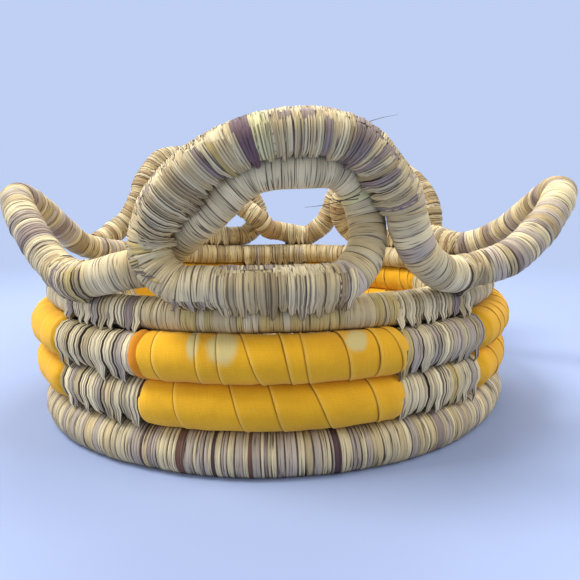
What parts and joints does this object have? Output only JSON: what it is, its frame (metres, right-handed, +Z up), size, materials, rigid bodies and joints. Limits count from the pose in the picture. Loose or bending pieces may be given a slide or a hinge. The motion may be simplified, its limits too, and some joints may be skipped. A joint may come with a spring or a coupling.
{
  "type": "coiled sweetgrass basket",
  "caption": "Round coiled grass basket wrapped in leaf strip, with yellow cloth panels on its wall and curled carrying loops standing on its rim.",
  "frame": {"origin": "centre of the floor on the surface that the basket stands on", "axes": "+Z up, -Y towards the front loop, +X to the right of the front loop"},
  "size_m": [0.2772, 0.2526, 0.1355],
  "materials": {
    "leaf": "dried leaf strip, wound side by side, satin with dull grey and brown strips among the cream ones",
    "cloth": "plain-weave cotton strip, matt",
    "grass": "dry grass stems, matt",
    "stitch": "split leaf stitches, satin"
  },
  "bodies": {
    "root": {"grass_core": "grass", "floor_start_knot": "leaf", "floor_wrap": "leaf", "foot_wrap": "leaf", "second_course_cloth_front": "cloth", "second_course_cloth_right": "cloth", "second_course_cloth_back_right": "cloth", "second_course_cloth_back_left": "cloth", "second_course_cloth_left": "cloth", "second_course_leaf_front": "leaf", "second_course_leaf_right": "leaf", "second_course_leaf_back_right": "leaf", "second_course_leaf_back_left": "leaf", "second_course_leaf_left": "leaf", "third_course_cloth_front": "cloth", "third_course_cloth_right": "cloth", "third_course_cloth_back_right": "cloth", "third_course_cloth_back_left": "cloth", "third_course_cloth_left": "cloth", "third_course_leaf_front": "leaf", "third_course_leaf_right": "leaf", "third_course_leaf_back_right": "leaf", "third_course_leaf_left": "leaf", "rim_wrap": "leaf", "left_arch_wrap": "leaf", "front_curl_wrap": "leaf", "right_arch_wrap": "leaf", "back_right_curl_wrap": "leaf", "back_left_curl_wrap": "leaf", "binding_left_front": "stitch", "binding_front_ring": "stitch", "binding_right_front": "stitch", "binding_right_back": "stitch", "binding_back_right_ring": "stitch", "binding_back": "stitch", "binding_back_left_ring": "stitch"}
  },
  "joints": []
}
